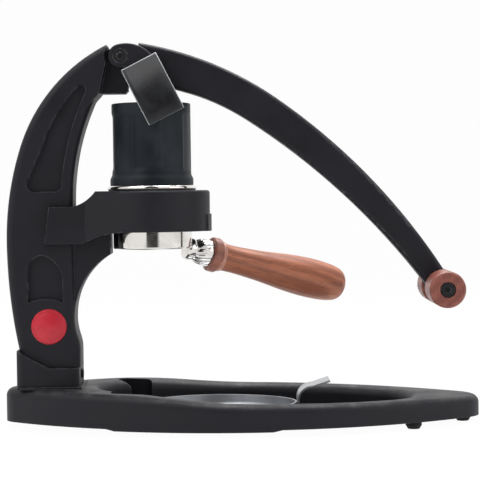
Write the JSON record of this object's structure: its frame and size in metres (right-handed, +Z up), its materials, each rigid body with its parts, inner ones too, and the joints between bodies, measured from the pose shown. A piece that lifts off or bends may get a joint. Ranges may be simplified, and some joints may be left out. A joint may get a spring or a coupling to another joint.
{
  "type": "manual espresso maker",
  "caption": "Hand lever espresso maker: oval base with drip tray, curved post, ring with brew cylinder and sleeve, portafilter, long curved lever with a cross grip.",
  "frame": {"origin": "middle of the footprint, on the table", "axes": "+Z up, +X from the post to the lever's free end, -Y the near side"},
  "size_m": [0.33, 0.15, 0.266],
  "materials": {
    "badge_red": "gloss enamel",
    "black_casting": "fine matte powder coat",
    "black_steel": "blackened steel",
    "bronze": "sintered",
    "chrome": "mirror polish",
    "plate": "satin black",
    "rubber": "matte",
    "silicone": "satin silicone",
    "steel": "brushed",
    "tray_steel": "satin",
    "wood": "satin lacquer"
  },
  "bodies": {
    "stand": {"badge": "badge_red", "base_casting": "black_casting", "base_pan": "plate", "brew_cylinder": "chrome", "dispersion_screen": "steel", "foot_1": "rubber", "foot_2": "rubber", "foot_3": "rubber", "foot_4": "rubber", "foot_5": "rubber", "foot_6": "rubber", "foot_screw_1": "black_steel", "foot_screw_2": "black_steel", "foot_screw_3": "black_steel", "foot_screw_4": "black_steel", "group_gasket": "silicone", "lock_screw": "black_steel", "pan_screw_1": "black_steel", "pan_screw_2": "black_steel", "pan_screw_3": "black_steel", "pan_screw_4": "black_steel", "pivot_bush": "bronze", "post_casting": "black_casting", "post_socket": "black_casting", "pull_strap": "silicone", "ring_bolt_1": "black_steel", "ring_bolt_2": "black_steel", "ring_casting": "black_casting", "silicone_sleeve": "silicone", "socket_bolt_1": "black_steel", "socket_bolt_2": "black_steel", "stop_bumper": "rubber"},
    "plunger": {"piston": "steel", "piston_ring_1": "rubber", "piston_ring_2": "rubber", "plunger_stem": "steel", "stem_cap": "black_steel"},
    "portafilter": {"portafilter_body": "chrome", "portafilter_neck": "chrome", "handle_ferrule": "wood", "handle_wood": "wood", "handle_rod": "steel", "filter_basket": "steel"},
    "lever": {"lever_casting": "black_casting", "pivot_bolt": "black_steel", "pivot_nut": "black_steel", "press_pad": "steel", "grip_near": "wood", "grip_far": "wood", "grip_rod": "steel", "grip_screw_near": "black_steel", "grip_screw_far": "black_steel"},
    "tray": {"drip_tray": "tray_steel", "tray_lip": "tray_steel"}
  },
  "joints": [
    {"name": "lever_pivot", "type": "hinge", "parent": "stand", "child": "lever", "pos_m": [-0.0813, 0, 0.2565], "axis": [0, -1, 0], "range_deg": [0, 90]},
    {"name": "plunger_slide", "type": "slide", "parent": "stand", "child": "plunger", "axis": [0, 0, 1], "range_m": [0, 0.024]},
    {"name": "portafilter_twist", "type": "hinge", "parent": "stand", "child": "portafilter", "pos_m": [-0.0613, 0, 0.13], "axis": [0, 0, 1], "range_deg": [-50, 0]},
    {"name": "drip_tray_lift", "type": "slide", "parent": "stand", "child": "tray", "axis": [0, 0, 1], "range_m": [0, 0.05]}
  ],
  "couplings": [
    {"joint": "plunger_slide", "follows": "lever_pivot", "m_per_rad": 0.015}
  ]
}
